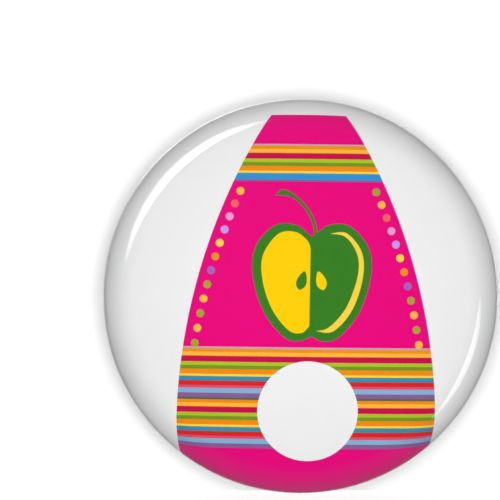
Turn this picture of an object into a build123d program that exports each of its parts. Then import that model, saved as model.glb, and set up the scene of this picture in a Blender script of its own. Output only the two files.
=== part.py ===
from build123d import *
import os
from math import cos, radians, sin, tan

# A 58 mm pin-back button badge: a domed tinplate shell, a printed paper disc and a clear film
# folded round the shell's edge, closed by a dished plastic back that carries a brooch pin.
#
# Sections are drawn on the bench: the badge lies on its back, +Z is the badge axis towards the
# domed front, +Y is the top of the artwork and z = 0 is the plane that the badge rests on.
# The finished pieces are then stood up: +Z up, front towards -Y, back towards +Y.

# ---- Driving dimensions, in millimetres and degrees ------------------------------------------

BADGE_RADIUS = 29.0

# Front outline, from the widest point to the middle of the dome.
SKIRT_TOP = 1.5  # height at which the straight skirt starts to curve forwards
EDGE_RADIUS = 2.3  # tight curve above the skirt
EDGE_SLOPE = 50.0  # slope of the face where the tight curve meets the shoulder
SHOULDER_RADIUS = 6.4  # wide curve between the edge and the dome
DOME_SLOPE = 7.0  # slope of the face where the shoulder meets the dome

# Folded rim.
CRIMP_RADIUS = 0.8  # curve from the skirt to the back of the rim
CRIMP_SETBACK = 0.1  # the fold stands this far in front of the resting plane
CRIMP_EDGE_RADIUS = 27.95  # where the turned-in shell edge stops
TUCK_RADIUS = 28.2  # where the folded-in paper and film stop

# Layers, as depths below the outer face of the film, with air gaps between them.
LAYER_GAP = 0.01
FILM_THICKNESS = 0.10
PAPER_THICKNESS = 0.12
SHELL_THICKNESS = 0.28

# Plastic back.
FLANGE_RADIUS = 28.3
FLANGE_THICKNESS = 1.1
SEAT_GAP = 0.04  # between the folded-in film and the flange that clamps it
LAND_GAP = 0.08  # between the fold and the plastic land that the badge rests on
LAND_INNER_RADIUS = 26.7
LAND_EDGE_RADIUS = 0.25
DISH_ANGLE = 50.0
DISH_TOP_RADIUS = 1.2  # curve from the land into the sloping wall
DISH_FLOOR_RADIUS = 1.6  # curve from the wall into the floor
FLOOR_HEIGHT = 2.8
FLOOR_THICKNESS = 1.1
WALL_THICKNESS = 1.0

# Windows in the floor, and the pin's line above the centre.
PIN_LINE = 11.4
END_WINDOW_OFFSET = 8.7
END_WINDOW_LENGTH = 6.0
END_WINDOW_WIDTH = 4.45
MIDDLE_WINDOW = 3.0
MIDDLE_WINDOW_CORNER = 0.25
WINDOW_EDGE_RADIUS = 0.2

# Steel pin base, clamped to the front side of the floor by two staked pegs.
STEEL_THICKNESS = 0.4
STEEL_GAP = 0.01
NECK_WIDTH = 3.4
PADDLE_BORDER = 0.75  # how far each paddle reaches past its window
PEG_OFFSET = 4.5
PEG_RADIUS = 0.6
PEG_HOLE_RADIUS = 0.65
PEG_HEAD_RADIUS = 1.05
PEG_HEAD_HEIGHT = 0.45
HEAD_ROUNDING = 0.8  # share of a head's height that is rounded off
RIB_LENGTH = 7.0
RIB_WIDTH = 0.7
RIB_HEIGHT = 0.55

# Needle, eye and hinge rivet. Places along the pin are measured from the middle of the badge.
WIRE_RADIUS = 0.35
EYE_RADIUS = 0.78  # to the middle of the wire
EYE_TURN = 285.0
LEAVING_ANGLE = 4.0  # slope at which the wire leaves the eye
SHAFT_BEND_RADIUS = 4.0  # bend that brings the wire parallel to the back
SHAFT_START = -6.5
SHAFT_END = 6.25
POINT_END = 9.25
POINT_RADIUS = 0.05
HINGE_PLACE = -8.9
HINGE_HEIGHT = 2.68
RIVET_RADIUS = 0.34
RIVET_HOLE_RADIUS = 0.38
RIVET_HEAD_RADIUS = 0.68
RIVET_HEAD_HEIGHT = 0.26
RIVET_HEAD_GAP = 0.02

# Sheet-metal bends.
BEND_RADIUS = 0.3  # inside radius where a tab turns up
TAB_RELIEF = 0.2  # gap left beside a tab in the flat sheet

# Hinge ears.
EAR_CLEAR_WIDTH = 1.3  # between the two ears
EAR_RADIUS = 1.1  # half the ear's width, and its rounded top

# Catch: a tab that stands up beside the point and curls over it.
CATCH_NEAR_SIDE = 7.95
CATCH_WALL_END = 10.6
CATCH_FAR_SIDE = 11.45
CATCH_WALL = 1.5  # middle of the standing wall, above the needle's line
CATCH_CLEARANCE = 0.06
CATCH_CURL_RADIUS = 1.0  # middle of the sheet
CATCH_LIP_START = -0.3
CATCH_LIP_END = -2.1
CATCH_LIP_SLOPE = 10.0
CATCH_NEAR_CORNER = -1.0  # where the near side turns in
CATCH_POINT_PLACE = 9.45  # the shield's lowest corner
CATCH_FLANK = (10.5, -1.2)  # where the far flank steepens
CATCH_FAR_CORNER = 0.5
CATCH_CORNER_RADII = (0, 0.8, 0.7, 1.0, 0.3, 0.3, 0)
CATCH_EDGE_RADIUS = 0.16  # rounding of the sheet's edges round the shield
CATCH_ROUNDED_FROM = 1.0  # the edges are rounded from this far behind the strip
SLIT_LENGTH = 1.0
SLIT_WIDTH = 0.22
SLIT_PLACE = 8.75

# ---- Derived sizes ---------------------------------------------------------------------------

PAPER_DEPTH = FILM_THICKNESS + LAYER_GAP
SHELL_DEPTH = PAPER_DEPTH + PAPER_THICKNESS + LAYER_GAP
SHELL_MIDDLE = SHELL_DEPTH + SHELL_THICKNESS / 2
FLANGE_HEIGHT = CRIMP_SETBACK + 2 * SHELL_MIDDLE + SEAT_GAP
FLOOR_FRONT = FLOOR_HEIGHT + FLOOR_THICKNESS
STEEL_BACK = FLOOR_FRONT + STEEL_GAP
STEEL_MIDDLE = STEEL_BACK + STEEL_THICKNESS / 2
BEND_MIDDLE_RADIUS = BEND_RADIUS + STEEL_THICKNESS / 2
ON_FLOOR = (Align.CENTER, Align.CENTER, Align.MIN)


def polar(centre, radius, angle):
    """Point on a section curve; the angle is that of the outward normal, from +Z towards +R."""
    return (centre[0] + radius * sin(radians(angle)), centre[1] + radius * cos(radians(angle)))


def needle_height():
    """Height of the straight shaft, from the eye, the slope and the small bend."""
    slope = radians(LEAVING_ANGLE)
    leaving_place = HINGE_PLACE - EYE_RADIUS * sin(slope)
    leaving_height = HINGE_HEIGHT - EYE_RADIUS * cos(slope)
    bend_start = SHAFT_START - SHAFT_BEND_RADIUS * sin(slope)
    bend_rise = SHAFT_BEND_RADIUS * (1 - cos(slope))
    return leaving_height - (bend_start - leaving_place) * tan(slope) - bend_rise


NEEDLE_HEIGHT = needle_height()
EDGE_CENTRE = (BADGE_RADIUS - EDGE_RADIUS, SKIRT_TOP)
SHOULDER_CENTRE = polar(EDGE_CENTRE, EDGE_RADIUS - SHOULDER_RADIUS, EDGE_SLOPE)
DOME_EDGE = polar(SHOULDER_CENTRE, SHOULDER_RADIUS, DOME_SLOPE)
DOME_RADIUS = DOME_EDGE[0] / sin(radians(DOME_SLOPE))
DOME_CENTRE = (0.0, DOME_EDGE[1] - DOME_RADIUS * cos(radians(DOME_SLOPE)))
CRIMP_CENTRE = (BADGE_RADIUS - CRIMP_RADIUS, CRIMP_SETBACK + CRIMP_RADIUS)
FOLD_CENTRE = (CRIMP_EDGE_RADIUS, CRIMP_SETBACK + SHELL_MIDDLE)


# ---- Section helpers -------------------------------------------------------------------------


def section_arc(centre, radius, start, end):
    """Edge in the XZ plane from one normal angle to another."""
    points = [polar(centre, radius, angle) for angle in (start, (start + end) / 2, end)]
    return ThreePointArc(*[(r, 0, z) for r, z in points])


def section_line(start, end):
    """Straight edge in the XZ plane between two (radius, height) points."""
    return Line((start[0], 0, start[1]), (end[0], 0, end[1]))


def revolve_section(edges):
    """Solid of revolution from a closed loop of section edges."""
    return revolve(make_face(Wire(edges)), Axis.Z, 360)


def front_curve(depth):
    """Edges at one depth, from the middle of the dome to the turned-in edge of the shell."""
    skirt = BADGE_RADIUS - depth
    back = CRIMP_SETBACK + depth
    return [
        section_arc(DOME_CENTRE, DOME_RADIUS - depth, 0, DOME_SLOPE),
        section_arc(SHOULDER_CENTRE, SHOULDER_RADIUS - depth, DOME_SLOPE, EDGE_SLOPE),
        section_arc(EDGE_CENTRE, EDGE_RADIUS - depth, EDGE_SLOPE, 90),
        section_line((skirt, SKIRT_TOP), (skirt, CRIMP_CENTRE[1])),
        section_arc(CRIMP_CENTRE, CRIMP_RADIUS - depth, 90, 180),
        section_line((CRIMP_CENTRE[0], back), (CRIMP_EDGE_RADIUS, back)),
    ]


def fold_curve(depth):
    """Edges at one depth that turn round the shell's edge and run back outwards."""
    radius = SHELL_MIDDLE - depth
    inside = FOLD_CENTRE[1] + radius
    return [
        section_arc(FOLD_CENTRE, radius, 180, 360),
        section_line((CRIMP_EDGE_RADIUS, inside), (TUCK_RADIUS, inside)),
    ]


def closing_lines(outer, inner):
    """The two short edges that join the ends of an outer and an inner curve."""
    first = Line(outer[0] @ 0, inner[0] @ 0)
    last = Line(outer[-1] @ 1, inner[-1] @ 1)
    return [first, last]


def sheet_layer(depth, thickness, folded):
    """One layer of the front stack, folded round the shell's edge or stopping at it."""
    outer = front_curve(depth)
    inner = front_curve(depth + thickness)
    if folded:
        outer = outer + fold_curve(depth)
        inner = inner + fold_curve(depth + thickness)
    return revolve_section(outer + inner + closing_lines(outer, inner))


# ---- Pieces ----------------------------------------------------------------------------------


def make_clear_film():
    return sheet_layer(0, FILM_THICKNESS, folded=True)


def make_artwork_disc():
    return sheet_layer(PAPER_DEPTH, PAPER_THICKNESS, folded=True)


def make_front_shell():
    return sheet_layer(SHELL_DEPTH, SHELL_THICKNESS, folded=False)


def dish_section():
    """Closed section of the plastic back: clamped flange, land, sloping wall and floor."""
    land_radius = CRIMP_EDGE_RADIUS - SHELL_MIDDLE - LAND_GAP
    land_corner = (land_radius - LAND_EDGE_RADIUS, LAND_EDGE_RADIUS)
    top_centre = (LAND_INNER_RADIUS, DISH_TOP_RADIUS)
    wall_top = polar(top_centre, DISH_TOP_RADIUS, 180 + DISH_ANGLE)
    foot_height = FLOOR_HEIGHT - DISH_FLOOR_RADIUS * (1 - cos(radians(DISH_ANGLE)))
    wall_run = (foot_height - wall_top[1]) / tan(radians(DISH_ANGLE))
    wall_foot = (wall_top[0] - wall_run, foot_height)
    floor_centre = polar(wall_foot, -DISH_FLOOR_RADIUS, DISH_ANGLE)
    flange_front = FLANGE_HEIGHT + FLANGE_THICKNESS
    outside_foot = polar(wall_foot, WALL_THICKNESS, DISH_ANGLE)

    def outside(height):
        """Point of the wall's outer face at one height."""
        return (outside_foot[0] + (outside_foot[1] - height) / tan(radians(DISH_ANGLE)), height)

    return [
        section_line((0, FLOOR_HEIGHT), (floor_centre[0], FLOOR_HEIGHT)),
        section_arc(floor_centre, DISH_FLOOR_RADIUS, 0, DISH_ANGLE),
        section_line(wall_foot, wall_top),
        section_arc(top_centre, DISH_TOP_RADIUS, 180 + DISH_ANGLE, 180),
        section_line((LAND_INNER_RADIUS, 0), (land_corner[0], 0)),
        section_arc(land_corner, LAND_EDGE_RADIUS, 180, 90),
        section_line((land_radius, LAND_EDGE_RADIUS), (land_radius, FLANGE_HEIGHT)),
        section_line((land_radius, FLANGE_HEIGHT), (FLANGE_RADIUS, FLANGE_HEIGHT)),
        section_line((FLANGE_RADIUS, FLANGE_HEIGHT), (FLANGE_RADIUS, flange_front)),
        section_line((FLANGE_RADIUS, flange_front), outside(flange_front)),
        section_line(outside(flange_front), outside(FLOOR_FRONT)),
        section_line(outside(FLOOR_FRONT), (0, FLOOR_FRONT)),
        section_line((0, FLOOR_FRONT), (0, FLOOR_HEIGHT)),
    ]


def cut_windows(plate):
    """Cut the three windows and round their edges on the back of the floor."""
    end_outline = SlotOverall(END_WINDOW_LENGTH, END_WINDOW_WIDTH)
    middle_outline = RectangleRounded(MIDDLE_WINDOW, MIDDLE_WINDOW, MIDDLE_WINDOW_CORNER)
    outlines = {
        -END_WINDOW_OFFSET: end_outline,
        0: middle_outline,
        END_WINDOW_OFFSET: end_outline,
    }
    for offset, outline in outlines.items():
        plate -= Pos(offset, PIN_LINE, FLOOR_HEIGHT) * extrude(outline, FLOOR_THICKNESS)
    return fillet(plate.edges().filter_by(is_window_edge), WINDOW_EDGE_RADIUS)


def is_window_edge(edge):
    """True for the edges of the windows on the back of the floor."""
    box = edge.bounding_box()
    level = abs(box.min.Z - FLOOR_HEIGHT) + abs(box.max.Z - FLOOR_HEIGHT) < 0.001
    return level and edge.center().Y > 1 and box.size.X < 2 * END_WINDOW_OFFSET


def staked_peg(offset):
    """Peg through the steel base, with its mushroomed head."""
    head_base = STEEL_BACK + STEEL_THICKNESS + STEEL_GAP
    shank = Cylinder(PEG_RADIUS, head_base - FLOOR_FRONT, align=ON_FLOOR)
    head = Cylinder(PEG_HEAD_RADIUS, PEG_HEAD_HEIGHT, align=ON_FLOOR)
    head = fillet(head.edges().group_by(Axis.Z)[-1], HEAD_ROUNDING * PEG_HEAD_HEIGHT)
    return Pos(offset, PIN_LINE, FLOOR_FRONT) * shank + Pos(offset, PIN_LINE, head_base) * head


def locating_rib(side):
    """Low wall that keeps the steel base straight."""
    centre = PIN_LINE + side * (NECK_WIDTH / 2 + STEEL_GAP + RIB_WIDTH / 2)
    return Pos(0, centre, FLOOR_FRONT) * Box(RIB_LENGTH, RIB_WIDTH, RIB_HEIGHT, align=ON_FLOOR)


def make_back_plate():
    plate = cut_windows(revolve_section(dish_section()))
    for side in (-1, 1):
        plate += staked_peg(side * PEG_OFFSET)
        plate += locating_rib(side)
    return plate


def strip_blank():
    """Flat strip with a paddle behind each end window and holes for the pegs."""
    neck = Rectangle(2 * END_WINDOW_OFFSET, NECK_WIDTH)
    paddle = SlotOverall(END_WINDOW_LENGTH + 2 * PADDLE_BORDER, END_WINDOW_WIDTH + 2 * PADDLE_BORDER)
    outline = neck + Pos(-END_WINDOW_OFFSET, 0) * paddle + Pos(END_WINDOW_OFFSET, 0) * paddle
    for side in (-1, 1):
        outline -= Pos(side * PEG_OFFSET, 0) * Circle(PEG_HOLE_RADIUS)
    return Pos(0, PIN_LINE, STEEL_BACK) * extrude(outline, STEEL_THICKNESS)


def tab_opening(near, far, wall):
    """Solid that clears the flat sheet beside a tab, from its bend out past the sheet's edge."""
    side = 1 if wall > 0 else -1
    bend_start = wall - side * BEND_MIDDLE_RADIUS
    length = far - near + 2 * TAB_RELIEF
    reach = 2 * END_WINDOW_WIDTH
    centre = PIN_LINE + bend_start + side * reach / 2
    return Pos((near + far) / 2, centre, STEEL_MIDDLE) * Box(length, reach, 2 * STEEL_THICKNESS)


def bent_tab(points, bends, near, far):
    """Strip of sheet along a bent middle line, given as points (above the needle, height)."""
    middle_line = FilletPolyline(*points, radius=bends)
    section = trace(middle_line, STEEL_THICKNESS)
    across = Plane(origin=(near, PIN_LINE, 0), x_dir=(0, 1, 0), z_dir=(1, 0, 0))
    return across * extrude(section, far - near)


def hinge_ear(side):
    """One ear: a tab turned up beside the eye, with a round top and a hole for the rivet."""
    wall = side * (EAR_CLEAR_WIDTH + STEEL_THICKNESS) / 2
    top = HINGE_HEIGHT - EAR_RADIUS
    points = [(0, STEEL_MIDDLE), (wall, STEEL_MIDDLE), (wall, top)]
    near = HINGE_PLACE - EAR_RADIUS
    far = HINGE_PLACE + EAR_RADIUS
    tab = bent_tab(points, BEND_MIDDLE_RADIUS, near, far)
    outline = Circle(EAR_RADIUS) + Pos(0, EAR_RADIUS) * Rectangle(2 * EAR_RADIUS, 2 * EAR_RADIUS)
    outline -= Circle(RIVET_HOLE_RADIUS)
    facing = Plane(origin=(HINGE_PLACE, PIN_LINE, HINGE_HEIGHT), x_dir=(-1, 0, 0), z_dir=(0, 1, 0))
    prism = facing * extrude(outline, END_WINDOW_WIDTH, both=True)
    return tab & prism, tab_opening(near, far, wall)


def point_radius_at(place):
    """Radius of the needle's tapered point at one place along the pin."""
    share = (place - SHAFT_END) / (POINT_END - SHAFT_END)
    return WIRE_RADIUS + share * (POINT_RADIUS - WIRE_RADIUS)


def catch_outline():
    """Shield shape that the curled tab is cut to, measured from the needle's line."""
    above_tab = 2 * CATCH_WALL
    corners = [
        (CATCH_NEAR_SIDE, above_tab),
        (CATCH_NEAR_SIDE, CATCH_NEAR_CORNER),
        (CATCH_POINT_PLACE, CATCH_LIP_END),
        CATCH_FLANK,
        (CATCH_FAR_SIDE, CATCH_FAR_CORNER),
        (CATCH_WALL_END, CATCH_WALL + STEEL_THICKNESS / 2),
        (CATCH_WALL_END, above_tab),
    ]
    return make_face(FilletPolyline(*corners, radius=CATCH_CORNER_RADII, close=True))


def stands_clear(edge):
    """True for an edge of the catch that is well behind the strip."""
    return edge.center().Z < STEEL_BACK - CATCH_ROUNDED_FROM


def catch_tab():
    """The catch: a tab that stands beside the point, curls over it and slopes back in."""
    face_height = NEEDLE_HEIGHT - point_radius_at(CATCH_NEAR_SIDE) - CATCH_CLEARANCE
    crown = face_height - STEEL_THICKNESS / 2
    lip_drop = (CATCH_LIP_START - CATCH_LIP_END) * tan(radians(CATCH_LIP_SLOPE))
    points = [
        (0, STEEL_MIDDLE),
        (CATCH_WALL, STEEL_MIDDLE),
        (CATCH_WALL, crown),
        (CATCH_LIP_START, crown),
        (CATCH_LIP_END, crown + lip_drop),
    ]
    bends = (BEND_MIDDLE_RADIUS, CATCH_CURL_RADIUS, CATCH_CURL_RADIUS)
    tab = bent_tab(points, bends, CATCH_NEAR_SIDE, CATCH_FAR_SIDE)
    shield = Pos(0, PIN_LINE, 0) * extrude(catch_outline(), 2 * STEEL_BACK)
    slit = Pos(SLIT_PLACE, PIN_LINE, 0) * extrude(SlotOverall(SLIT_LENGTH, SLIT_WIDTH), NEEDLE_HEIGHT)
    catch = tab & shield
    catch = fillet(catch.edges().filter_by(stands_clear), CATCH_EDGE_RADIUS)
    return catch - slit, tab_opening(CATCH_NEAR_SIDE, CATCH_FAR_SIDE, CATCH_WALL)


def make_pin_base():
    base = strip_blank()
    for tab, opening in (hinge_ear(-1), hinge_ear(1), catch_tab()):
        base -= opening
        base += tab
    return base


def make_hinge_rivet():
    outer = EAR_CLEAR_WIDTH / 2 + STEEL_THICKNESS + RIVET_HEAD_GAP
    shank = Cylinder(RIVET_RADIUS, 2 * outer)
    head = Cylinder(RIVET_HEAD_RADIUS, RIVET_HEAD_HEIGHT, align=ON_FLOOR)
    head = fillet(head.edges().group_by(Axis.Z)[-1], HEAD_ROUNDING * RIVET_HEAD_HEIGHT)
    rivet = shank + Pos(0, 0, outer) * head + Rot(180, 0, 0) * (Pos(0, 0, outer) * head)
    return Pos(HINGE_PLACE, PIN_LINE, HINGE_HEIGHT) * Rot(90, 0, 0) * rivet


def needle_path():
    """Middle line of the wire: eye, slope, small bend and straight shaft, in the XZ plane."""

    def on_eye(turn):
        """Point of the eye, counted in degrees from where the wire leaves it."""
        angle = 180 + LEAVING_ANGLE + turn
        place, height = polar((HINGE_PLACE, HINGE_HEIGHT), EYE_RADIUS, angle)
        return (place, PIN_LINE, height)

    slope = radians(LEAVING_ANGLE)
    bend_start = SHAFT_START - SHAFT_BEND_RADIUS * sin(slope)
    bend_rise = SHAFT_BEND_RADIUS * (1 - cos(slope))
    half_run = SHAFT_BEND_RADIUS * sin(slope / 2)
    half_rise = SHAFT_BEND_RADIUS * (1 - cos(slope / 2))
    eye = ThreePointArc(on_eye(EYE_TURN), on_eye(EYE_TURN / 2), on_eye(0))
    lead = Line(on_eye(0), (bend_start, PIN_LINE, NEEDLE_HEIGHT + bend_rise))
    bend = ThreePointArc(
        lead @ 1,
        (SHAFT_START - half_run, PIN_LINE, NEEDLE_HEIGHT + half_rise),
        (SHAFT_START, PIN_LINE, NEEDLE_HEIGHT),
    )
    shaft = Line(bend @ 1, (SHAFT_END, PIN_LINE, NEEDLE_HEIGHT))
    return Wire([eye, lead, bend, shaft])


def make_needle():
    path = needle_path()
    pen = Plane(origin=path @ 0, z_dir=path % 0) * Circle(WIRE_RADIUS)
    wire = sweep(pen, path)
    point_length = POINT_END - SHAFT_END
    point = Cone(WIRE_RADIUS, POINT_RADIUS, point_length, align=ON_FLOOR)
    point = fillet(point.edges().group_by(Axis.Z)[-1], HEAD_ROUNDING * POINT_RADIUS)
    along = Plane(origin=(SHAFT_END, PIN_LINE, NEEDLE_HEIGHT), z_dir=(1, 0, 0))
    return wire + along * point


# ---- Export ----------------------------------------------------------------------------------

PIECES = {
    "clear_film": make_clear_film,
    "artwork_disc": make_artwork_disc,
    "front_shell": make_front_shell,
    "back_plate": make_back_plate,
    "pin_base": make_pin_base,
    "hinge_rivet": make_hinge_rivet,
    "needle": make_needle,
}

os.makedirs("parts", exist_ok=True)
for name, make in PIECES.items():
    standing = Rot(90, 0, 0) * make()
    export_step(standing, f"parts/{name}.step")
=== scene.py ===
"""A pin-back button badge: film, print, white plastic back and steel pin, in a white studio."""

import bisect
import math
import random

import bpy
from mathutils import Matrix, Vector
from mathutils.geometry import delaunay_2d_cdt


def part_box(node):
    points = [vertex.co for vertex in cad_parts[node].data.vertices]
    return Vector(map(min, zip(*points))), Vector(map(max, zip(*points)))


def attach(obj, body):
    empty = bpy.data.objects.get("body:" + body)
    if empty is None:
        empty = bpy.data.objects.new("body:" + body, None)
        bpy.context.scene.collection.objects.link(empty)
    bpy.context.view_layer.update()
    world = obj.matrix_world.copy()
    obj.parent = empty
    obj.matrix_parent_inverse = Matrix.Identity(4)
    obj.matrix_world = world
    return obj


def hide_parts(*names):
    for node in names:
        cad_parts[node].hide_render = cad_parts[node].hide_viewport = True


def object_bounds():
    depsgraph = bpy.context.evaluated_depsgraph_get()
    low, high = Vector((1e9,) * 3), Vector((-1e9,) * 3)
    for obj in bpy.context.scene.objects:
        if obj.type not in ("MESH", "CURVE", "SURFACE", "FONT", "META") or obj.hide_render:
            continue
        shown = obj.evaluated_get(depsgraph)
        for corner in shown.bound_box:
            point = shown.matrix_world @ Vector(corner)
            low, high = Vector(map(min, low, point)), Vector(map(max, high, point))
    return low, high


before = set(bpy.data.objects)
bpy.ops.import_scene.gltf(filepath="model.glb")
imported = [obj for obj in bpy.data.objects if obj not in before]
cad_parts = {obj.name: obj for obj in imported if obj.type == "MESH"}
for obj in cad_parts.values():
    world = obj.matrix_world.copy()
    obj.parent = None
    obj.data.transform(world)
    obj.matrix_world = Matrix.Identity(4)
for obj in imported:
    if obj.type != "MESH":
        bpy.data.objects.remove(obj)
CAD_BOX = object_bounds()

MM = 0.001

# ---- The badge's outline, in millimetres and degrees ------------------------------------------
# Heights run forwards from the plane that the badge rests on. The radius comes from the frame.

FILM_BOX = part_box("clear_film")
BADGE_RADIUS = (FILM_BOX[1].x - FILM_BOX[0].x) / 2 / MM
SKIRT_TOP = 1.5
EDGE_RADIUS = 2.3
EDGE_SLOPE = 50.0
SHOULDER_RADIUS = 6.4
DOME_SLOPE = 7.0
CRIMP_RADIUS = 0.8
CRIMP_SETBACK = -FILM_BOX[1].y / MM
CRIMP_EDGE_RADIUS = 27.95
FOLD_RADIUS = 0.38
TUCK_RADIUS = 28.2

# Layers, as depths below the film's outer face.
FILM_INNER_DEPTH = 0.09
PAPER_OUTER_DEPTH = 0.115
PAPER_INNER_DEPTH = 0.225

# ---- The print, in millimetres on the flat paper, from the middle of the badge -----------------

PANEL_CENTRE = 0.9
PANEL_TOP = 26.7
PANEL_FLARE_RADIUS = 88.0
PANEL_FLARE_LEVEL = -20.0
PANEL_HALF_WIDTH = 18.9
PANEL_STEP = 0.9  # between the points of the flared sides
PRINT_TURN = -0.6  # degrees
SPOT_CENTRE = (1.1, -16.6)
SPOT_RADIUS = 7.3
DOT_RADIUS = 0.58
DOT_INSET = 1.65
DOT_FIRST = 15.3
DOT_STEP = 1.84
DOT_STEP_GROWTH = 0.034
FRUIT_CENTRE = (1.5, 2.1)

INKS = {
    "paper_white": (0.852, 0.854, 0.855),
    "magenta": (0.790, 0.000, 0.205),
    "grey_lilac": (0.520, 0.400, 0.380),
    "orange": (0.870, 0.270, 0.005),
    "amber": (0.960, 0.480, 0.045),
    "crimson": (0.570, 0.004, 0.070),
    "lime": (0.400, 0.560, 0.020),
    "leaf_green": (0.180, 0.300, 0.020),
    "yellow": (0.920, 0.640, 0.060),
    "sun_yellow": (0.955, 0.610, 0.000),
    "sky": (0.030, 0.290, 0.640),
    "teal": (0.040, 0.260, 0.420),
    "red": (0.690, 0.018, 0.020),
    "rose": (0.720, 0.080, 0.160),
    "pale_blue": (0.230, 0.440, 0.640),
    "violet": (0.260, 0.110, 0.310),
    "moss": (0.070, 0.150, 0.090),
    "fruit_green": (0.036, 0.205, 0.016),
    "rim_green": (0.060, 0.190, 0.020),
    "coral": (0.830, 0.130, 0.110),
    "pink": (0.800, 0.330, 0.640),
    "lavender": (0.500, 0.340, 0.830),
    "purple": (0.350, 0.130, 0.540),
    "olive": (0.380, 0.350, 0.030),
}

WRAP_INK = "wrap_lilac"

# Stripe bands: where each starts, and the (ink, width) of its stripes from the top down.
CHORUS = [
    ("orange", 0.46),
    ("amber", 0.58),
    ("crimson", 0.86),
    ("lime", 0.52),
    ("leaf_green", 0.52),
    ("orange", 0.72),
    ("yellow", 0.34),
]
VERSE = [("teal", 0.66), ("red", 0.66), ("rose", 0.40), ("pale_blue", 0.72), ("violet", 0.66)]
BANDS = [
    (22.2, [("grey_lilac", 0.26)] + CHORUS + [("sky", 0.95), ("violet", 0.25)]),
    (-7.3, [("grey_lilac", 0.30)] + CHORUS + VERSE + [("moss", 0.30)] + CHORUS + VERSE),
]
DOT_INKS = [
    "amber",
    "coral",
    "pink",
    "lavender",
    "yellow",
    "orange",
    "purple",
    "olive",
    "amber",
    "olive",
    "amber",
]


# ---- Small geometry helpers ---------------------------------------------------------------------


def polar(centre, radius, angle):
    """Point of the outline; the angle is that of the outward normal, from forwards to outwards."""
    turn = math.radians(angle)
    return (centre[0] + radius * math.sin(turn), centre[1] + radius * math.cos(turn))


def arc_piece(centre, radius, start, end):
    """Length of an arc of the outline, and a function from share to (radius, height, angle)."""

    def at(share):
        angle = start + share * (end - start)
        return (*polar(centre, radius, angle), angle)

    return radius * math.radians(end - start), at


def line_piece(start, end, angle):
    """Length of a straight stretch of the outline, and its function as for an arc."""

    def at(share):
        place = [a + share * (b - a) for a, b in zip(start, end)]
        return (*place, angle)

    return math.dist(start, end), at


def outline_pieces():
    """The film's outer face in section, from the middle of the dome to the tucked-in end."""
    edge = (BADGE_RADIUS - EDGE_RADIUS, SKIRT_TOP)
    shoulder = polar(edge, EDGE_RADIUS - SHOULDER_RADIUS, EDGE_SLOPE)
    dome_edge = polar(shoulder, SHOULDER_RADIUS, DOME_SLOPE)
    dome_radius = dome_edge[0] / math.sin(math.radians(DOME_SLOPE))
    dome = (0.0, dome_edge[1] - dome_radius * math.cos(math.radians(DOME_SLOPE)))
    crimp = (BADGE_RADIUS - CRIMP_RADIUS, CRIMP_SETBACK + CRIMP_RADIUS)
    fold = (CRIMP_EDGE_RADIUS, CRIMP_SETBACK + FOLD_RADIUS)
    fold_front = fold[1] + FOLD_RADIUS
    return [
        arc_piece(dome, dome_radius, 0, DOME_SLOPE),
        arc_piece(shoulder, SHOULDER_RADIUS, DOME_SLOPE, EDGE_SLOPE),
        arc_piece(edge, EDGE_RADIUS, EDGE_SLOPE, 90),
        line_piece((BADGE_RADIUS, SKIRT_TOP), (BADGE_RADIUS, crimp[1]), 90),
        arc_piece(crimp, CRIMP_RADIUS, 90, 180),
        line_piece((crimp[0], CRIMP_SETBACK), (CRIMP_EDGE_RADIUS, CRIMP_SETBACK), 180),
        arc_piece(fold, FOLD_RADIUS, 180, 360),
        line_piece((CRIMP_EDGE_RADIUS, fold_front), (TUCK_RADIUS, fold_front), 360),
    ]


OUTLINE = outline_pieces()
OUTLINE_LENGTH = sum(length for length, _ in OUTLINE)
WRAP_START = sum(length for length, _ in OUTLINE[:4])


def outline_at(distance):
    """(radius, height, normal angle) at a distance along the outline from its middle."""
    for length, at in OUTLINE:
        if distance <= length:
            return at(distance / length)
        distance -= length
    return OUTLINE[-1][1](1.0)


def layer_point(profile, turn, depth):
    """Point and outward normal of a layer, in metres: turn is in radians from +X towards +Z."""
    radius, height, angle = profile
    slope = math.radians(angle)
    radius -= depth * math.sin(slope)
    height -= depth * math.cos(slope)
    point = Vector((radius * math.cos(turn), -height, radius * math.sin(turn))) * MM
    normal = Vector(
        (math.sin(slope) * math.cos(turn), -math.cos(slope), math.sin(slope) * math.sin(turn))
    )
    return point, normal


def stations(steps):
    """Distances along the outline, with a number of steps on each of its pieces."""
    places = [0.0]
    start = 0.0
    for (length, _), count in zip(OUTLINE, steps):
        places += [start + length * (i + 1) / count for i in range(count)]
        start += length
    return places


def smooth_step(low, high, value):
    share = min(max((value - low) / (high - low), 0.0), 1.0)
    return share * share * (3 - 2 * share)


def new_object(name, points, faces, material_names=(), face_inks=None, normals=None):
    """Mesh object from points and faces, smooth shaded."""
    mesh = bpy.data.meshes.new(name)
    mesh.from_pydata([tuple(p) for p in points], [], faces)
    for material_name in material_names:
        mesh.materials.append(MATERIALS[material_name])
    if face_inks is not None:
        mesh.polygons.foreach_set("material_index", face_inks)
    mesh.polygons.foreach_set("use_smooth", [True] * len(mesh.polygons))
    mesh.update()
    if normals is not None:
        mesh.normals_split_custom_set_from_vertices([tuple(n) for n in normals])
    obj = bpy.data.objects.new(name, mesh)
    bpy.context.scene.collection.objects.link(obj)
    return obj


# ---- Materials ----------------------------------------------------------------------------------

MATERIALS = {}
STRETCHED_FILM_ROUGHNESS = 0.34  # added where the film is stretched round the edge
DRAWING_LINE_DEPTH = 8e-7  # metres


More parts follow.
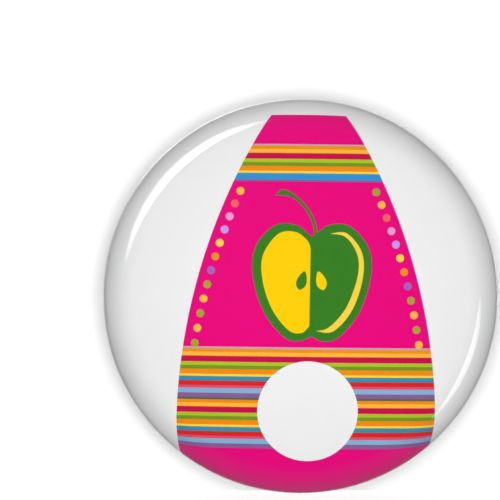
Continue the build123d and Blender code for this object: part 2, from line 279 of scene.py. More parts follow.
class Recipe:
    """A node material in the making, with short calls for the nodes used here."""

    def __init__(self, name):
        self.material = bpy.data.materials.new(name)
        self.material.use_nodes = True
        self.nodes = self.material.node_tree.nodes
        self.links = self.material.node_tree.links
        self.nodes.clear()
        self.output = self.nodes.new("ShaderNodeOutputMaterial")
        self.coordinates = self.nodes.new("ShaderNodeTexCoord").outputs["Object"]
        MATERIALS[name] = self.material

    def add(self, kind, **inputs):
        node = self.nodes.new(kind)
        for name, value in inputs.items():
            self.feed(node.inputs[name.replace("_", " ")], value)
        return node

    def feed(self, socket, value):
        if isinstance(value, bpy.types.NodeSocket):
            self.links.new(value, socket)
        else:
            socket.default_value = value

    def math(self, operation, first, second=0.0):
        node = self.nodes.new("ShaderNodeMath")
        node.operation = operation
        self.feed(node.inputs[0], first)
        self.feed(node.inputs[1], second)
        return node.outputs[0]

    def stretched(self, scale):
        mapping = self.add("ShaderNodeMapping", Vector=self.coordinates, Scale=scale)
        return mapping.outputs[0]

    def noise(self, scale, detail=3.0, vector=None):
        node = self.add("ShaderNodeTexNoise", Scale=scale, Detail=detail)
        self.feed(node.inputs["Vector"], vector or self.coordinates)
        return node.outputs["Fac"]

    def spread(self, value, low, high):
        """Map a noise value, which mostly lies between 0.3 and 0.7, on to a range."""
        node = self.add("ShaderNodeMapRange", Value=value, From_Min=0.3, From_Max=0.7)
        node.inputs["To Min"].default_value = low
        node.inputs["To Max"].default_value = high
        return node.outputs[0]

    def ramp_up(self, value, low, high):
        node = self.add("ShaderNodeMapRange", Value=value, From_Min=low, From_Max=high)
        node.interpolation_type = "SMOOTHSTEP"
        return node.outputs[0]

    def tint(self, factor, first, second):
        node = self.nodes.new("ShaderNodeMix")
        node.data_type = "RGBA"
        self.feed(node.inputs["Factor"], factor)
        for socket, colour in ((node.inputs[6], first), (node.inputs[7], second)):
            is_socket = isinstance(colour, bpy.types.NodeSocket)
            self.feed(socket, colour if is_socket else (*colour, 1.0))
        return node.outputs[2]

    def bump(self, height, distance, strength=1.0):
        node = self.add("ShaderNodeBump", Height=height, Distance=distance, Strength=strength)
        return node.outputs[0]

    def facing(self, low, high):
        """1 on faces turned to the badge's front or back, falling to 0 on sideways ones."""
        geometry = self.nodes.new("ShaderNodeNewGeometry")
        normal = self.add("ShaderNodeSeparateXYZ", Vector=geometry.outputs["Normal"])
        return self.ramp_up(self.math("ABSOLUTE", normal.outputs["Y"]), low, high)

    def openness(self, distance):
        """1 on open faces, falling to 0 in gaps and corners."""
        shade = self.add("ShaderNodeAmbientOcclusion", Distance=distance)
        shade.samples = 6
        return self.ramp_up(shade.outputs["AO"], 0.25, 0.95)

    def surface(self, shader):
        self.links.new(shader, self.output.inputs["Surface"])
        return self.material

    def principled(self, **inputs):
        return self.surface(self.add("ShaderNodeBsdfPrincipled", **inputs).outputs[0])


def scaled(colour, factor):
    return tuple(c * factor for c in colour)


def ink_material(name, colour):
    """Coated paper with one printed ink: a faint mottle, fibre bump and a soft sheen."""
    recipe = Recipe(name)
    mottle = recipe.spread(recipe.noise(2600, 4), 0, 1)
    fibres = recipe.noise(9000, 2)
    recipe.principled(
        Base_Color=recipe.tint(mottle, scaled(colour, 0.975), scaled(colour, 1.01)),
        Roughness=recipe.spread(fibres, 0.50, 0.62),
        Specular_IOR_Level=0.05,
        Normal=recipe.bump(fibres, 2e-6),
    )


def film_material():
    """Clear film: only its outer face reflects, and its gloss is dulled where it is stretched."""
    recipe = Recipe("film")
    rubs = recipe.noise(900, 5, recipe.stretched((1, 1, 5)))
    place = recipe.add("ShaderNodeSeparateXYZ", Vector=recipe.coordinates).outputs["Y"]
    edge_start = -(SKIRT_TOP + EDGE_RADIUS * math.cos(math.radians(EDGE_SLOPE))) * MM
    stretch_in = recipe.ramp_up(place, edge_start, 0.6 * edge_start)
    stretch_out = recipe.ramp_up(place, -CRIMP_RADIUS * MM, -0.5 * CRIMP_RADIUS * MM)
    stretched = recipe.math("SUBTRACT", stretch_in, stretch_out)
    polish = recipe.spread(rubs, 0.035, 0.075)
    dulling = recipe.math("MULTIPLY", stretched, STRETCHED_FILM_ROUGHNESS)
    roughness = recipe.math("ADD", polish, dulling)
    fresnel = recipe.add("ShaderNodeFresnel", IOR=1.53)
    geometry = recipe.nodes.new("ShaderNodeNewGeometry")
    outside = recipe.math("SUBTRACT", 1.0, geometry.outputs["Backfacing"])
    shine = recipe.math("SUBTRACT", 1.0, recipe.math("MULTIPLY", stretched, 0.85))
    mirrored = recipe.math("MULTIPLY", fresnel.outputs[0], outside)
    factor = recipe.math("MULTIPLY", mirrored, shine)
    clear = recipe.add("ShaderNodeBsdfTransparent", Color=(0.995, 0.995, 0.995, 1.0))
    gloss = recipe.add("ShaderNodeBsdfGlossy", Roughness=roughness)
    mix = recipe.add("ShaderNodeMixShader", Fac=factor)
    recipe.links.new(clear.outputs[0], mix.inputs[1])
    recipe.links.new(gloss.outputs[0], mix.inputs[2])
    recipe.surface(mix.outputs[0])


def plastic_material():
    """Moulded white plastic: semi-gloss, with flow marks and a very fine texture."""
    recipe = Recipe("white_plastic")
    flow = recipe.noise(70, 3, recipe.stretched((1, 1, 3)))
    grain = recipe.noise(3500, 3)
    colour = recipe.tint(recipe.spread(flow, 0, 1), (0.800, 0.808, 0.812), (0.830, 0.832, 0.830))
    relief = recipe.math("ADD", recipe.math("MULTIPLY", flow, 3.0), grain)
    recipe.principled(
        Base_Color=colour,
        Roughness=recipe.spread(grain, 0.33, 0.42),
        Specular_IOR_Level=0.45,
        Normal=recipe.bump(relief, 4e-6),
    )


# Turned-in paper: painted shade in the creases, the lilac paper between, and a painted highlight where
# the folds would catch the light.
WRAP_LILAC_AND_PAINTED_LIGHT = (
    (0.34, (0.330, 0.325, 0.340)),
    (0.43, (0.560, 0.545, 0.650)),
    (0.56, (0.620, 0.605, 0.730)),
    (0.66, (0.830, 0.820, 0.880)),
)
# Painted highlight: a pale band along the inner edge, where the folded film would catch the light.
WRAP_PAINTED_HIGHLIGHT = (0.880, 0.870, 0.950)
WRAP_HIGHLIGHT_RADII = (28.15, 28.45)  # the pale band along the inner edge fades out between these


def set_stops(ramp, stops):
    """Give a colour ramp node its stops, as (position, colour) in rising order."""
    elements = ramp.color_ramp.elements
    ends = (elements[0], stops[0]), (elements[-1], stops[-1])
    for element, (position, colour) in ends:
        element.position = position
        element.color = (*colour, 1.0)
    for position, colour in stops[1:-1]:
        elements.new(position).color = (*colour, 1.0)


def wrap_material(name):
    """Paper turned in round the edge: lilac, with painted shade in its creases, painted highlights
    between them and a painted highlight along the inner edge.
    """
    recipe = Recipe(name)
    split = recipe.add("ShaderNodeSeparateXYZ", Vector=recipe.coordinates)
    x, z = split.outputs["X"], split.outputs["Z"]
    turn = recipe.math("ARCTAN2", z, x)
    squares = recipe.math("ADD", recipe.math("MULTIPLY", x, x), recipe.math("MULTIPLY", z, z))
    radius = recipe.math("SQRT", squares)
    place = recipe.nodes.new("ShaderNodeCombineXYZ")
    recipe.feed(place.inputs["X"], recipe.math("MULTIPLY", turn, BADGE_RADIUS))
    recipe.feed(place.inputs["Y"], recipe.math("MULTIPLY", radius, 500.0))
    creases = recipe.noise(1.15, 4, place.outputs[0])
    # Painted shade and highlight: the creases' noise picks grey in the hollows, lilac between and
    # near-white where they would catch the light.
    shades = recipe.nodes.new("ShaderNodeValToRGB")
    recipe.feed(shades.inputs[0], creases)
    set_stops(shades, WRAP_LILAC_AND_PAINTED_LIGHT)
    # Painted highlight along the inner edge, mixed in at three quarters strength.
    painted_highlight = recipe.ramp_up(radius, WRAP_HIGHLIGHT_RADII[1] * MM, WRAP_HIGHLIGHT_RADII[0] * MM)
    highlight_share = recipe.math("MULTIPLY", painted_highlight, 0.75)
    recipe.principled(
        Base_Color=recipe.tint(highlight_share, shades.outputs[0], WRAP_PAINTED_HIGHLIGHT),
        Roughness=0.42,
        Specular_IOR_Level=0.3,
        Normal=recipe.bump(creases, 3e-5),
    )


def steel_material(name, colour, roughness, sheared_and_shaded):
    """Plated steel: drawing lines, duller patches and painted shade in the gaps; on sheet, sideways
    faces are painted dark, partly for the bare cut edges and partly as painted shade.
    """
    recipe = Recipe(name)
    lines = recipe.noise(2500, 4, recipe.stretched((0.03, 1, 1)))
    patches = recipe.noise(320, 3)
    plate = recipe.tint(recipe.spread(patches, 0, 1), scaled(colour, 0.80), colour)
    # Sideways faces of the sheet are painted dark: partly the bare cut edges, partly painted shade.
    if sheared_and_shaded:
        plate = recipe.tint(recipe.facing(0.50, 0.96), scaled(colour, 0.15), plate)
    # Painted shade: the colour falls to about a fifth in gaps and corners.
    recipe.principled(
        Base_Color=recipe.tint(recipe.openness(0.40 * MM), scaled(colour, 0.22), plate),
        Metallic=0.85,
        Roughness=recipe.spread(lines, roughness - 0.06, roughness + 0.08),
        Normal=recipe.bump(lines, DRAWING_LINE_DEPTH),
    )


def tinplate_material():
    """Tin-plated sheet with a faint crystal pattern in its shine."""
    recipe = Recipe("tinplate")
    crystals = recipe.add("ShaderNodeTexVoronoi", Vector=recipe.coordinates, Scale=700.0)
    shade = recipe.spread(crystals.outputs["Distance"], 0, 1)
    recipe.principled(
        Base_Color=recipe.tint(shade, (0.60, 0.61, 0.63), (0.70, 0.71, 0.73)),
        Metallic=1.0,
        Roughness=recipe.spread(crystals.outputs["Distance"], 0.24, 0.36),
    )


def stage_material(name, colour, glow, seen_from):
    """Pale floor or backdrop: seen only by the camera, from its lit side and not edge-on."""
    recipe = Recipe(name)
    haze = recipe.spread(recipe.noise(14, 2), 0, 1)
    paint = recipe.tint(haze, scaled(colour, 0.99), colour)
    body = recipe.add("ShaderNodeBsdfDiffuse", Color=paint)
    distance = recipe.nodes.new("ShaderNodeVectorMath")
    distance.operation = "LENGTH"
    recipe.links.new(recipe.coordinates, distance.inputs[0])
    near, far = SHADOW_REACH
    reach = distance.outputs["Value"]
    fade = recipe.add("ShaderNodeMapRange", Value=reach, From_Min=near, From_Max=far)
    strength = recipe.math("ADD", recipe.math("MULTIPLY", fade.outputs[0], 1 - glow), glow)
    light = recipe.add("ShaderNodeEmission", Color=(1, 1, 1, 1), Strength=strength)
    both = recipe.add("ShaderNodeAddShader")
    recipe.links.new(body.outputs[0], both.inputs[0])
    recipe.links.new(light.outputs[0], both.inputs[1])
    clear = recipe.nodes.new("ShaderNodeBsdfTransparent")
    geometry = recipe.nodes.new("ShaderNodeNewGeometry")
    path = recipe.nodes.new("ShaderNodeLightPath")
    front = recipe.math("SUBTRACT", 1.0, geometry.outputs["Backfacing"])
    slant = recipe.nodes.new("ShaderNodeVectorMath")
    slant.operation = "DOT_PRODUCT"
    recipe.links.new(geometry.outputs["Normal"], slant.inputs[0])
    recipe.links.new(geometry.outputs["Incoming"], slant.inputs[1])
    shown = recipe.math("MULTIPLY", front, recipe.ramp_up(slant.outputs["Value"], 0.0, seen_from))
    seen = recipe.math("MULTIPLY", path.outputs["Is Camera Ray"], shown)
    mix = recipe.add("ShaderNodeMixShader", Fac=seen)
    recipe.links.new(clear.outputs[0], mix.inputs[1])
    recipe.links.new(both.outputs[0], mix.inputs[2])
    recipe.surface(mix.outputs[0])


def glint_material():
    """Softbox light whose brightness fades out across and along the strip."""
    recipe = Recipe("softbox_light")
    glow = recipe.add("ShaderNodeAttribute")
    glow.attribute_name = "glow"
    light = recipe.add("ShaderNodeEmission", Color=(1, 1, 1, 1), Strength=glow.outputs["Fac"])
    recipe.surface(light.outputs[0])


def make_materials():
    for name, colour in INKS.items():
        ink_material(name, colour)
    wrap_material(WRAP_INK)
    film_material()
    plastic_material()
    steel_material("sheet_steel", (0.430, 0.414, 0.365), roughness=0.25, sheared_and_shaded=True)
    steel_material("wire_steel", (0.190, 0.178, 0.158), roughness=0.28, sheared_and_shaded=False)
    tinplate_material()
    stage_material("pale_floor", (0.15, 0.15, 0.15), glow=0.90, seen_from=0.01)
    stage_material("pale_backdrop", (0.85, 0.85, 0.85), glow=0.155, seen_from=0.30)
    glint_material()


# ---- Print: shapes on the flat paper ------------------------------------------------------------


def panel_half_width(level):
    """Half the width of the magenta panel: it flares along an arc and then runs straight down."""
    rise = max(level - PANEL_FLARE_LEVEL, 0.0)
    return PANEL_HALF_WIDTH - PANEL_FLARE_RADIUS + math.sqrt(PANEL_FLARE_RADIUS**2 - rise**2)


def split_path(points, step=0.45, closed=True):
    """Add points so that no stretch of a path is longer than a step."""
    path = []
    ends = points[1:] + points[:1] if closed else points[1:]
    for start, end in zip(points, ends):
        count = max(1, math.ceil(math.dist(start, end) / step))
        for i in range(count):
            share = i / count
            path.append(tuple(a + share * (b - a) for a, b in zip(start, end)))
    if not closed:
        path.append(points[-1])
    return path


def curve_value(before, start, end, after, t):
    """Catmull-Rom value between start and end at a share t of the way."""
    linear = (end - before) * t
    square = (2 * before - 5 * start + 4 * end - after) * t * t
    cube = (3 * start - before - 3 * end + after) * t**3
    return 0.5 * (2 * start + linear + square + cube)


def smooth_path(points, closed=True, count=10):
    """Catmull-Rom curve through the points."""
    last = len(points)
    path = []
    for i in range(last if closed else last - 1):
        before = points[(i - 1) % last] if closed or i > 0 else points[0]
        after = points[(i + 2) % last] if closed or i + 2 < last else points[-1]
        knots = list(zip(before, points[i], points[(i + 1) % last], after))
        for k in range(count):
            path.append(tuple(curve_value(*knot, k / count) for knot in knots))
    if not closed:
        path.append(points[-1])
    return path


def circle_path(centre, radius, count=20):
    turns = [2 * math.pi * i / count for i in range(count)]
    return [(centre[0] + radius * math.cos(t), centre[1] + radius * math.sin(t)) for t in turns]


def moved(path, offset):
    return [(u + offset[0], v + offset[1]) for u, v in path]


def panel_path():
    """Magenta panel: flat top, flared sides, running off the foot of the badge."""
    foot = -OUTLINE_LENGTH - 2
    steps = int((PANEL_TOP - PANEL_FLARE_LEVEL) / PANEL_STEP)
    levels = [PANEL_TOP - PANEL_STEP * i for i in range(steps + 1)] + [foot]
    right = [(PANEL_CENTRE + panel_half_width(v), v) for v in levels]
    left = [(PANEL_CENTRE - panel_half_width(v), v) for v in reversed(levels)]
    return split_path(right + left)[::-1]


def dot_shapes():
    """A row of dots down each side of the panel, a little wider spaced towards the foot."""
    shapes = []
    for side, inks in ((-1, DOT_INKS + ["olive"]), (1, ["olive"] + DOT_INKS)):
        level = DOT_FIRST
        for i, ink in enumerate(inks):
            reach = panel_half_width(level) - DOT_INSET
            shapes.append((ink, circle_path((PANEL_CENTRE + side * reach, level), DOT_RADIUS)))
            level -= DOT_STEP + DOT_STEP_GROWTH * i
    return shapes


# One side of the apple's outline from the dimple to the foot, and the shapes inside it.
FRUIT_SIDE = (
    (0.3, 6.7),
    (2.3, 8.1),
    (5.3, 8.0),
    (8.0, 4.9),
    (8.3, 0.8),
    (6.7, -4.2),
    (3.7, -7.8),
    (1.4, -8.2),
)
FRUIT_FOOT = (0.0, -7.6)
FRUIT_RIM = 0.03  # how much larger the dark rim is drawn
FLESH = (
    (-0.2, 4.9),
    (-0.7, 6.1),
    (-2.4, 7.3),
    (-4.9, 7.0),
    (-7.1, 3.9),
    (-7.1, 0.2),
    (-5.7, -3.9),
    (-3.3, -6.9),
    (-1.4, -7.3),
    (-0.3, -6.3),
)
SHINE_OUTSIDE = ((2.6, 7.1), (5.0, 7.2), (7.2, 4.5), (7.4, 0.8), (5.9, -3.9), (3.2, -7.0), (0.7, -7.0))
SHINE_INSIDE = ((0.7, -7.0), (2.6, -6.4), (5.0, -3.6), (6.6, 0.8), (6.6, 4.0), (4.9, 6.6), (2.6, 7.1))
STEM_BELOW = ((0.35, 6.4), (-0.05, 8.7), (-1.3, 10.9), (-3.2, 12.4), (-5.4, 12.6))
STEM_ABOVE = ((-5.4, 12.6), (-4.3, 13.5), (-2.4, 12.6), (-0.6, 10.8), (0.5, 8.6), (0.75, 6.4))
SEED = ((0.0, 1.5), (0.62, 0.5), (0.68, -0.6), (0.0, -1.3), (-0.68, -0.6), (-0.62, 0.5))
SEED_LEAN = 16.0  # degrees
SEED_PLACES = ((-1.45, 0.2), (1.35, 0.2))


def fruit_outline(grow=0.0):
    """The whole apple, drawn larger by a share of its size."""
    right = [(u * (1 + grow), v * (1 + grow)) for u, v in FRUIT_SIDE]
    left = [(-u, v) for u, v in reversed(right)]
    foot = (FRUIT_FOOT[0], FRUIT_FOOT[1] * (1 + grow))
    return smooth_path(right + [foot] + left, count=8)[::-1]


def open_curve(points, count=8):
    return smooth_path(points, closed=False, count=count)


def leaning_seed():
    lean = math.radians(SEED_LEAN)
    upright = smooth_path(SEED, count=6)
    cosine, sine = math.cos(lean), math.sin(lean)
    return [(u * cosine - v * sine, u * sine + v * cosine) for u, v in upright]


def fruit_shapes():
    """A plain two-tone apple: cut yellow half on the left, green skin on the right."""
    seed = leaning_seed()
    mirrored = [(-u, v) for u, v in seed]
    shapes = [
        ("rim_green", fruit_outline(FRUIT_RIM)),
        ("fruit_green", fruit_outline()),
        ("sun_yellow", open_curve(FLESH, 10)),
        ("yellow", open_curve(SHINE_OUTSIDE) + open_curve(SHINE_INSIDE)[1:-1]),
        ("rim_green", open_curve(STEM_BELOW) + open_curve(STEM_ABOVE)[1:]),
        ("fruit_green", moved(mirrored, SEED_PLACES[0])),
        ("sun_yellow", moved(seed, SEED_PLACES[1])),
    ]
    return [(ink, moved(path, FRUIT_CENTRE)) for ink, path in shapes]


def band_edges():
    """(level, ink below it) for each stripe, from the top down; the last of a band has no ink."""
    edges = []
    for level, stripes in BANDS:
        for ink, width in stripes:
            edges.append((level, ink))
            level -= width
        edges.append((level, None))
    return edges


def band_ink(level):
    """Ink of the stripe at one level of the panel."""
    ink = "magenta"
    for edge, below in BAND_EDGES:
        if level < edge:
            ink = below or "magenta"
    return ink


BAND_EDGES = band_edges()


def signed_area(path):
    return sum(a[0] * b[1] - b[0] * a[1] for a, b in zip(path, path[1:] + path[:1])) / 2


class PlanePattern:
    """Points, edges and outlines that are cut into one flat triangle mesh."""

    def __init__(self):
        self.points = []
        self.edges = []
        self.outlines = []

    def add_points(self, path):
        first = len(self.points)
        self.points += [Vector(p) for p in path]
        return list(range(first, len(self.points)))

    def add_line(self, path):
        ids = self.add_points(path)
        self.edges += list(zip(ids, ids[1:]))

    def add_outline(self, path):
        if signed_area(path) < 0:
            path = path[::-1]
        self.outlines.append(self.add_points(path))

    def cut(self):
        result = delaunay_2d_cdt(self.points, self.edges, self.outlines, 0, 1e-4)
        return result[0], result[2], result[5]


# Steps on each of the outline's eight pieces, and points round the folded rim.
PAPER_STEPS = (26, 20, 12, 2, 14, 1, 10, 1)
PAPER_INNER_STEPS = (6, 8, 8, 1, 8, 1, 8, 1)
PAPER_SEGMENTS = 720
PAPER_SPACING = 0.55  # between points on the open part of the paper
PAPER_DENT_SHARE = 0.8  # the paper follows the film's folds a little less deeply
SPOT_SEGMENTS = 96
SHEET = 0  # place of the sheet's own outline in the pattern


def print_pattern():
    """Flat paper with every ink's outline cut into it."""
    pattern = PlanePattern()
    places = stations(PAPER_STEPS)
    rim = circle_path((0, 0), places[-1], PAPER_SEGMENTS)
    pattern.add_outline(rim)
    for place in places[1:-1]:
        spacing = PAPER_SPACING if place < WRAP_START - FOLD_RADIUS else 0
        count = round(2 * math.pi * place / spacing) if spacing else PAPER_SEGMENTS
        pattern.add_points(circle_path((0, 0), place, count))
    pattern.add_points([(0.0, 0.0)])
    spot = circle_path(SPOT_CENTRE, SPOT_RADIUS, SPOT_SEGMENTS)
    shapes = [("panel", panel_path()), ("paper_white", spot)]
    shapes += dot_shapes() + fruit_shapes()
    for _, path in shapes:
        pattern.add_outline(path)
    for level, _ in BAND_EDGES:
        half = panel_half_width(level)
        ends = [(PANEL_CENTRE - half, level), (PANEL_CENTRE + half, level)]
        pattern.add_line(split_path(ends, closed=False))
    return pattern, [None] + [ink for ink, _ in shapes]


def triangle_ink(centre, shape_inks, inside):
    """Ink of one triangle of the flat paper: the last shape laid over it."""
    if math.hypot(*centre) > WRAP_START:
        return WRAP_INK
    ink = shape_inks[max(inside)] or "paper_white"
    return band_ink(centre[1]) if ink == "panel" else ink


def print_turn(place):
    """Turn of a place on the flat paper once the paper lies in the badge."""
    return math.atan2(place.y, place.x) + math.radians(PRINT_TURN)


def make_print():
    """Printed paper: an inked outer face folded round the shell, and a plain inner face."""
    pattern, shape_inks = print_pattern()
    flat, triangles, origins = pattern.cut()
    names = [*INKS, WRAP_INK]
    faces = []
    inks = []
    for triangle, inside in zip(triangles, origins):
        if SHEET not in inside:
            continue
        middle = sum((flat[i] for i in triangle), Vector((0, 0))) / 3
        faces.append(list(triangle))
        inks.append(names.index(triangle_ink(middle, shape_inks, inside)))
    points = []
    normals = []
    for place in flat:
        distance = min(place.length, OUTLINE_LENGTH)
        turn = print_turn(place)
        profile = outline_at(distance)
        depth = PAPER_OUTER_DEPTH + PAPER_DENT_SHARE * FOLDS.dent(turn, profile[2])
        point, normal = layer_point(profile, turn, depth)
        points.append(point)
        normals.append(normal)
    rim = rim_loop(flat, faces)
    add_inner_face(points, normals, faces, inks, rim, [print_turn(flat[i]) for i in rim])
    return new_object("printed_paper", points, faces, names, inks, normals)


def rim_loop(flat, faces):
    """Ids of the points round the paper's rim, in order of angle."""
    used = {i for face in faces for i in face}
    rim = [i for i in used if abs(flat[i].length - OUTLINE_LENGTH) < 0.001]
    return sorted(rim, key=lambda i: math.atan2(flat[i].y, flat[i].x))


def add_inner_face(points, normals, faces, inks, rim, turns):
    """Close a sheet with an inner face that runs back from its rim to the middle."""
    places = stations(PAPER_INNER_STEPS)[::-1]
    count = len(rim)
    outer = rim
    for place in places[:-1]:
        ring = list(range(len(points), len(points) + count))
        profile = outline_at(place)
        for turn in turns:
            point, normal = layer_point(profile, turn, PAPER_INNER_DEPTH)
            points.append(point)
            normals.append(-normal)
        add_ring_faces(faces, outer, ring)
        outer = ring
    point, normal = layer_point(outline_at(0.0), 0.0, PAPER_INNER_DEPTH)
    points.append(point)
    normals.append(-normal)
    middle = len(points) - 1
    faces += [[outer[i], outer[(i + 1) % count], middle][::-1] for i in range(count)]
    faces_added = len(faces) - len(inks)
    inks += [list(INKS).index("paper_white")] * faces_added


def add_ring_faces(faces, first, second):
    """Quads between two rings of points."""
    count = len(first)
    for i in range(count):
        k = (i + 1) % count
        faces.append([first[i], second[i], second[k], first[k]])


# ---- Folds in the rim ---------------------------------------------------------------------------

FOLD_SEED = 58
FOLDS_BEGIN = (78, 125)  # degrees of the outline's normal over which the folds set in
FOLDS_END = (215, 255)
FACET_LOW = 3.0  # degrees round the badge
FACET_HIGH = 8.0
PLEAT_DEPTH = 0.055
PLEAT_WIDTH = 0.42  # degrees
SHALLOWEST_PLEAT = 0.2  # as a share of the pleat's depth
CREASES = 260
CREASE_MIDDLE = 118  # degrees of the outline's normal
CREASE_SCATTER = 20
CREASE_LEAN = 0.035  # degrees round the badge for each degree along the outline
CREASE_WIDTHS = (0.25, 0.55)
CREASE_LENGTHS = (8, 22)
CREASE_DEPTH = 0.045
SHALLOWEST_CREASE = 0.3  # as a share of the crease's depth
DEEPEST_DENT = 0.075


class RimFolds:
    """How far film and paper lie inside the round rim: flat facets, pleats and small creases."""

    def __init__(self):
        maker = random.Random(FOLD_SEED)
        self.corners = [0.0]
        while self.corners[-1] < 360 - FACET_HIGH:
            self.corners.append(self.corners[-1] + maker.uniform(FACET_LOW, FACET_HIGH))
        self.pleats = [maker.uniform(SHALLOWEST_PLEAT, 1.0) * PLEAT_DEPTH for _ in self.corners]
        self.creases = [[] for _ in range(360)]
        for _ in range(CREASES):
            place = maker.uniform(0, 360)
            crease = (
                place,
                maker.gauss(CREASE_MIDDLE, CREASE_SCATTER),
                maker.uniform(-CREASE_LEAN, CREASE_LEAN),
                maker.uniform(*CREASE_WIDTHS),
                maker.uniform(*CREASE_LENGTHS),
                maker.uniform(SHALLOWEST_CREASE, 1.0) * CREASE_DEPTH,
            )
            for near in (-2, -1, 0, 1, 2):
                self.creases[int(place + near) % 360].append(crease)

    def dent(self, turn, angle):
        """Depth in millimetres at a turn round the badge and at an angle of the outline's normal."""
        weight = smooth_step(*FOLDS_BEGIN, angle) * (1 - smooth_step(*FOLDS_END, angle))
        if weight == 0:
            return 0.0
        degrees = math.degrees(turn) % 360
        index = bisect.bisect_right(self.corners, degrees) - 1
        low = self.corners[index]
        high = self.corners[index + 1] if index + 1 < len(self.corners) else 360.0
        half = math.radians((high - low) / 2)
        off = math.radians(degrees - (low + high) / 2)
        dent = BADGE_RADIUS * (1 - math.cos(half) / math.cos(off))
        dent += self.pleats[index] * math.exp(-(((degrees - low) / PLEAT_WIDTH) ** 2))
        following = self.pleats[(index + 1) % len(self.pleats)]
        dent += following * math.exp(-(((high - degrees) / PLEAT_WIDTH) ** 2))
        for place, middle, lean, width, length, depth in self.creases[int(degrees) % 360]:
            along = angle - middle
            across = (degrees - place + 180) % 360 - 180 - lean * along
            dent += depth * math.exp(-((across / width) ** 2) - (along / length) ** 2)
        return weight * DEEPEST_DENT * math.tanh(dent / DEEPEST_DENT)


FOLDS = RimFolds()


# ---- Film ---------------------------------------------------------------------------------------

FILM_STEPS = (26, 22, 14, 2, 22, 2, 12, 1)
FILM_INNER_STEPS = (8, 8, 8, 1, 8, 1, 8, 1)
FILM_SEGMENTS = 1440


def make_film():
    """Clear film with a thickness, folded round the edge with facets, pleats and creases."""
    turns = [2 * math.pi * i / FILM_SEGMENTS for i in range(FILM_SEGMENTS)]
    outer_places = stations(FILM_STEPS)[1:]
    inner_places = stations(FILM_INNER_STEPS)[:0:-1]
    points = []
    faces = []
    rings = []
    layers = ((0.0, outer_places, True), (FILM_INNER_DEPTH, inner_places, False))
    for depth, places, folded in layers:
        for place in places:
            profile = outline_at(place)
            rings.append(list(range(len(points), len(points) + FILM_SEGMENTS)))
            for turn in turns:
                dent = FOLDS.dent(turn, profile[2]) if folded else 0.0
                points.append(layer_point(profile, turn, depth + dent)[0])
    for first, second in zip(rings, rings[1:]):
        add_ring_faces(faces, first, second)
    for depth, ring, order in ((0.0, rings[0], 1), (FILM_INNER_DEPTH, rings[-1], -1)):
        points.append(layer_point(outline_at(0.0), 0.0, depth)[0])
        middle = len(points) - 1
        for i in range(FILM_SEGMENTS):
            faces.append([middle, ring[i], ring[(i + 1) % FILM_SEGMENTS]][::order])
    return new_object("film_cover", points, faces, ["film"])


# ---- CAD nodes that stay ------------------------------------------------------------------------


SHARP_ANGLE = 28.0  # degrees; shallower edges of the CAD meshes are shaded smooth


def dress(node, material_name):
    """Give a CAD node its finish and smooth shading."""
    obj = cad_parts[node]
    obj.data.materials.clear()
    obj.data.materials.append(MATERIALS[material_name])
    obj.data.polygons.foreach_set("material_index", [0] * len(obj.data.polygons))
    obj.data.set_sharp_from_angle(angle=math.radians(SHARP_ANGLE))


# ---- Studio -------------------------------------------------------------------------------------

FRAME_WIDTH = 2 * BADGE_RADIUS / 0.786  # the badge fills this share of the picture
CAMERA_OFFSET = (-7.4, 6.8)  # the picture's middle, left of and above the badge's middle
LENS = 150.0
SENSOR = 36.0
FLOOR_GAP = 0.1  # millimetres below the badge
BACKDROP_GAP = 3.6  # behind the badge's back
STAGE_REACH = 1.5  # metres from the badge to the stage's edges
SHADOW_REACH = (0.032, 0.09)  # metres over which the stage brightens to plain white

# Brightness of the surroundings by direction, as (part along the axis, level) stops.
HEIGHT_GLOSS = (
    (-1, 0.60),
    (-0.45, 0.36),
    (-0.30, 0.22),
    (0, 0.42),
    (0.45, 0.62),
    (0.58, 0.34),
    (0.82, 0.34),
    (0.92, 0.88),
    (1, 0.95),
)
DEPTH_GLOSS = (
    (-1, 0.04),
    (-0.7, 0.55),
    (0.1, 1.0),
    (0.55, 1.1),
    (0.62, 4.5),
    (0.72, 4.5),
    (0.80, 1.3),
    (1, 1.35),
)
DEPTH_FILL = ((-0.1, 0.07), (0.3, 0.47))


def camera_place():
    distance = FRAME_WIDTH * LENS / SENSOR
    return Vector((CAMERA_OFFSET[0], -distance, CAMERA_OFFSET[1])) * MM


def make_camera():
    data = bpy.data.cameras.new("camera")
    data.lens = LENS
    data.sensor_width = SENSOR
    data.clip_start = 0.01
    camera = bpy.data.objects.new("camera", data)
    camera.location = camera_place()
    camera.rotation_euler = (math.radians(90), 0, 0)
    bpy.context.scene.collection.objects.link(camera)
    bpy.context.scene.camera = camera


def world_ramp(nodes, links, value, stops):
    """Colour ramp over a direction's part along one axis, from -1 to 1."""
    share = nodes.new("ShaderNodeMapRange")
    share.inputs["From Min"].default_value = -1.0
    links.new(value, share.inputs["Value"])
    ramp = nodes.new("ShaderNodeValToRGB")
    links.new(share.outputs[0], ramp.inputs[0])
    set_stops(ramp, [((place + 1) / 2, (level, level, level)) for place, level in stops])
    return ramp.outputs[0]


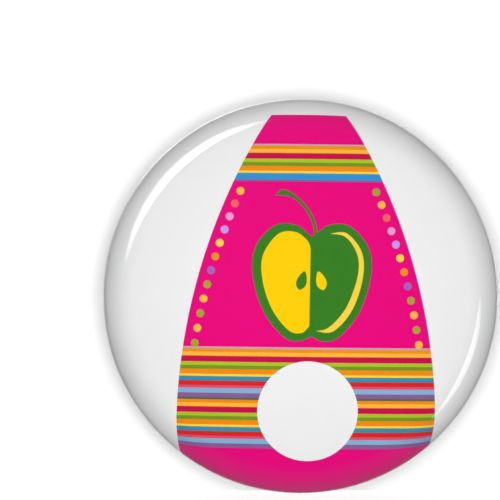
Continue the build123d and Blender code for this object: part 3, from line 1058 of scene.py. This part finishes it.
def make_world():
    """White to the camera; darker in front and below, and brighter above, to all else."""
    world = bpy.data.worlds.new("studio")
    bpy.context.scene.world = world
    world.use_nodes = True
    nodes = world.node_tree.nodes
    links = world.node_tree.links
    nodes.clear()
    coordinates = nodes.new("ShaderNodeTexCoord")
    split = nodes.new("ShaderNodeSeparateXYZ")
    links.new(coordinates.outputs["Generated"], split.inputs[0])
    by_height = world_ramp(nodes, links, split.outputs["Z"], HEIGHT_GLOSS)
    by_depth = world_ramp(nodes, links, split.outputs["Y"], DEPTH_GLOSS)
    gloss_level = nodes.new("ShaderNodeMath")
    gloss_level.operation = "MULTIPLY"
    links.new(by_height, gloss_level.inputs[0])
    links.new(by_depth, gloss_level.inputs[1])
    levels = (
        world_ramp(nodes, links, split.outputs["Y"], DEPTH_FILL),
        gloss_level.outputs[0],
        None,
    )
    shades = []
    for level in levels:
        shade = nodes.new("ShaderNodeBackground")
        shade.inputs["Color"].default_value = (1, 1, 1, 1)
        if level is not None:
            links.new(level, shade.inputs["Strength"])
        shades.append(shade)
    path = nodes.new("ShaderNodeLightPath")
    shader = shades[0]
    for shade, ray in zip(shades[1:], ("Is Glossy Ray", "Is Camera Ray")):
        mix = nodes.new("ShaderNodeMixShader")
        links.new(path.outputs[ray], mix.inputs[0])
        links.new(shader.outputs[0], mix.inputs[1])
        links.new(shade.outputs[0], mix.inputs[2])
        shader = mix
    output = nodes.new("ShaderNodeOutputWorld")
    links.new(shader.outputs[0], output.inputs["Surface"])


def area_light(name, place, power, size, glossy):
    """Disc softbox aimed at the badge's middle; place and size in metres, power in watts."""
    data = bpy.data.lights.new(name, "AREA")
    data.shape = "DISK"
    data.size = size
    data.energy = power
    light = bpy.data.objects.new(name, data)
    light.location = place
    aim = -Vector(place)
    light.rotation_euler = aim.to_track_quat("-Z", "Y").to_euler()
    light.visible_camera = False
    light.visible_glossy = glossy
    bpy.context.scene.collection.objects.link(light)


def make_lights():
    area_light("front_softbox", (0, -0.145, 0), power=0.226, size=0.10, glossy=False)
    area_light("back_softbox", (-0.09, 0.31, 0.17), power=0.86, size=0.22, glossy=True)


def make_glints():
    """The two arcs that the softboxes leave on the badge's shoulder."""
    glint_strip("upper_softbox", radius=26.0, width=1.5, start=100, end=170, brightness=15.0)
    glint_strip("lower_softbox", radius=26.0, width=1.05, start=-44, end=1, brightness=9.0)


GLINT_ROWS = 9
GLINT_COLUMNS = 48
GLINT_REACH = 0.45  # metres from the badge to the strip
GLINT_SEARCH_STEP = 0.01  # millimetres


def glint_strip(name, radius, width, start, end, brightness):
    """Softbox strip whose mirror image is an arc on the shoulder, as the camera sees it.

    Radius and width are in millimetres on the badge, start and end in degrees round it.
    """
    camera = camera_place()
    points = []
    glow = []
    distances = [GLINT_SEARCH_STEP * i for i in range(int(OUTLINE_LENGTH / GLINT_SEARCH_STEP))]
    front = [d for d in distances if outline_at(d)[2] < 90]
    for column in range(GLINT_COLUMNS + 1):
        share = column / GLINT_COLUMNS
        turn = math.radians(start + share * (end - start))
        taper = math.sin(math.pi * share) ** 0.55
        for row in range(GLINT_ROWS + 1):
            across = 2 * row / GLINT_ROWS - 1
            spot = radius + across * width / 2 * max(taper, 0.08)
            distance = min(front, key=lambda d: abs(outline_at(d)[0] - spot))
            point, normal = layer_point(outline_at(distance), turn, 0.0)
            view = (camera - point).normalized()
            mirrored = 2 * normal.dot(view) * normal - view
            points.append(point + mirrored * GLINT_REACH)
            glow.append(brightness * taper * (1 - across * across))
    faces = []
    for column in range(GLINT_COLUMNS):
        for row in range(GLINT_ROWS):
            first = column * (GLINT_ROWS + 1) + row
            second = first + GLINT_ROWS + 1
            faces.append([first, first + 1, second + 1, second])
    strip = new_object(name, points, faces, ["softbox_light"])
    layer = strip.data.attributes.new("glow", "FLOAT", "POINT")
    layer.data.foreach_set("value", glow)
    strip.visible_camera = False
    strip.visible_diffuse = False
    strip.visible_shadow = False


def stage_plane(name, points, material_name):
    plane = new_object(name, points, [[0, 1, 2, 3]], [material_name])
    plane.visible_shadow = False


def make_stage():
    """Pale floor under the badge and a pale backdrop just behind it."""
    low = CAD_BOX[0][2] - FLOOR_GAP * MM
    back = CAD_BOX[1][1] + BACKDROP_GAP * MM
    far = STAGE_REACH
    floor = [(-far, -far, low), (far, -far, low), (far, far, low), (-far, far, low)]
    wall = [(-far, back, low), (far, back, low), (far, back, far), (-far, back, far)]
    stage_plane("floor", floor, "pale_floor")
    stage_plane("backdrop", wall, "pale_backdrop")


# ---- Build --------------------------------------------------------------------------------------


def make_badge():
    film = make_film()
    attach(film, "badge_body")
    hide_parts("clear_film")
    paper = make_print()
    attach(paper, "badge_body")
    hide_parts("artwork_disc")
    dress("front_shell", "tinplate")
    dress("back_plate", "white_plastic")
    dress("pin_base", "sheet_steel")
    dress("hinge_rivet", "wire_steel")
    dress("needle", "wire_steel")


make_materials()
make_badge()
make_camera()
make_world()
make_lights()
make_stage()
make_glints()
bpy.context.scene.view_settings.view_transform = "Standard"
